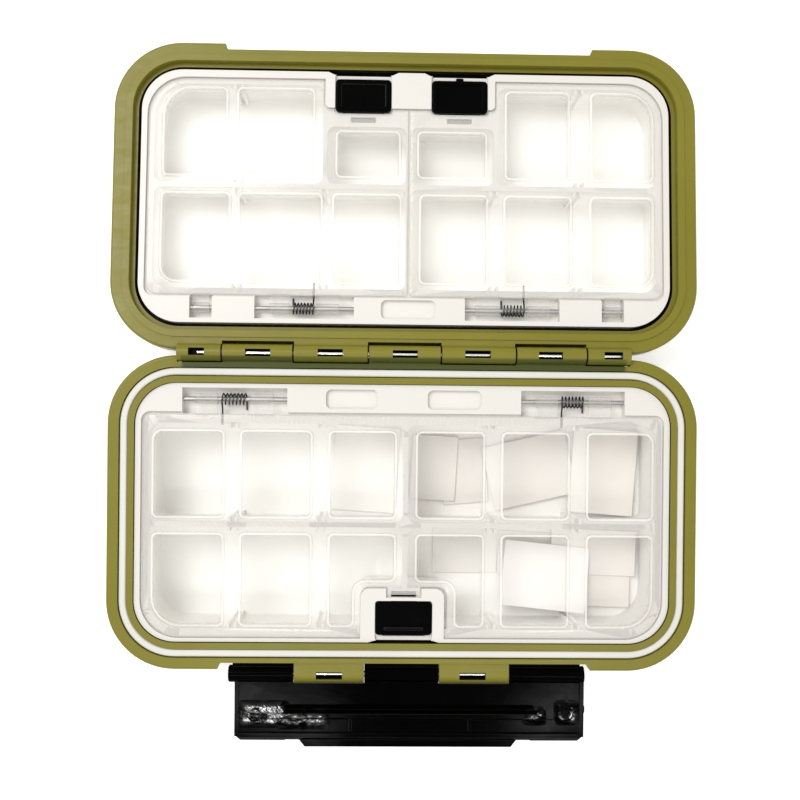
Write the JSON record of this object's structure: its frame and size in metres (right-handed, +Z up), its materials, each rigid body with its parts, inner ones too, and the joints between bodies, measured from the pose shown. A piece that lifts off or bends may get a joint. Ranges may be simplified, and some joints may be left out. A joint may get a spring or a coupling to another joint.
{
  "type": "hinged tackle case",
  "caption": "Waterproof hinged tackle case lying open: olive shells, white cell trays under clear sprung covers with slide buttons, rim seal and a swing latch.",
  "frame": {"origin": "centre of the base half's flat underside, where the case rests", "axes": "+X along the main hinge, +Y from the latch side towards the main hinge and the lid, +Z up"},
  "size_m": [0.2, 0.2406, 0.0329],
  "materials": {
    "olive_plastic": "satin",
    "white_plastic": "satin",
    "white_silicone": "matte",
    "clear_plastic": "gloss",
    "black_plastic": "gloss",
    "bright_steel": "polished",
    "dark_spring_steel": "oiled"
  },
  "bodies": {
    "base": {"base_shell": "olive_plastic", "base_gasket": "white_silicone", "base_tray": "white_plastic", "hinge_pin": "bright_steel", "latch_pin": "bright_steel", "base_cover_pin_left": "bright_steel", "base_cover_pin_right": "bright_steel", "base_cover_spring_left": "dark_spring_steel", "base_cover_spring_right": "dark_spring_steel", "base_button_spring": "dark_spring_steel", "divider_01": "white_plastic", "divider_02": "white_plastic", "divider_03": "white_plastic", "divider_04": "white_plastic", "divider_05": "white_plastic", "divider_06": "white_plastic", "divider_07": "white_plastic", "divider_08": "white_plastic", "divider_09": "white_plastic", "divider_10": "white_plastic", "divider_11": "white_plastic"},
    "lid": {"lid_shell": "olive_plastic", "lid_tray": "white_plastic", "lid_cover_pin_left_outer": "bright_steel", "lid_cover_pin_left_inner": "bright_steel", "lid_cover_pin_right_inner": "bright_steel", "lid_cover_pin_right_outer": "bright_steel", "lid_cover_spring_left": "dark_spring_steel", "lid_cover_spring_right": "dark_spring_steel", "lid_button_spring_left": "dark_spring_steel", "lid_button_spring_right": "dark_spring_steel"},
    "latch": {"latch": "black_plastic"},
    "base_cover": {"base_cover": "clear_plastic"},
    "lid_cover_left": {"lid_cover_left": "clear_plastic"},
    "lid_cover_right": {"lid_cover_right": "clear_plastic"},
    "base_button": {"base_button": "black_plastic"},
    "lid_button_left": {"lid_button_left": "black_plastic"},
    "lid_button_right": {"lid_button_right": "black_plastic"}
  },
  "joints": [
    {"name": "lid_hinge", "type": "hinge", "parent": "base", "child": "lid", "pos_m": [0, 0.0541, 0.03], "axis": [1, 0, 0], "range_deg": [0, 184.2]},
    {"name": "latch_swing", "type": "hinge", "parent": "base", "child": "latch", "pos_m": [0, -0.055, 0.0266], "axis": [-1, 0, 0], "range_deg": [0, 90]},
    {"name": "base_cover_hinge", "type": "hinge", "parent": "base", "child": "base_cover", "pos_m": [0, 0.0384, 0.027], "axis": [1, 0, 0], "range_deg": [-98, 0], "deforming": ["base_cover_spring_left", "base_cover_spring_right"]},
    {"name": "lid_cover_left_hinge", "type": "hinge", "parent": "lid", "child": "lid_cover_left", "pos_m": [0, 0.06952, 0.02556], "axis": [-1, 0, 0], "range_deg": [-98, 0], "deforming": ["lid_cover_spring_left"]},
    {"name": "lid_cover_right_hinge", "type": "hinge", "parent": "lid", "child": "lid_cover_right", "pos_m": [0, 0.06952, 0.02556], "axis": [-1, 0, 0], "range_deg": [-98, 0], "deforming": ["lid_cover_spring_right"]},
    {"name": "base_button_slide", "type": "slide", "parent": "base", "child": "base_button", "axis": [0, 1, 0], "range_m": [-0.0015, 0], "stiffness_N_per_m": 400, "springref_m": 0.001, "deforming": ["base_button_spring"]},
    {"name": "lid_button_left_slide", "type": "slide", "parent": "lid", "child": "lid_button_left", "axis": [0, -0.9973, 0.0733], "range_m": [-0.0015, 0], "stiffness_N_per_m": 400, "springref_m": 0.001, "deforming": ["lid_button_spring_left"]},
    {"name": "lid_button_right_slide", "type": "slide", "parent": "lid", "child": "lid_button_right", "axis": [0, -0.9973, 0.0733], "range_m": [-0.0015, 0], "stiffness_N_per_m": 400, "springref_m": 0.001, "deforming": ["lid_button_spring_right"]}
  ]
}
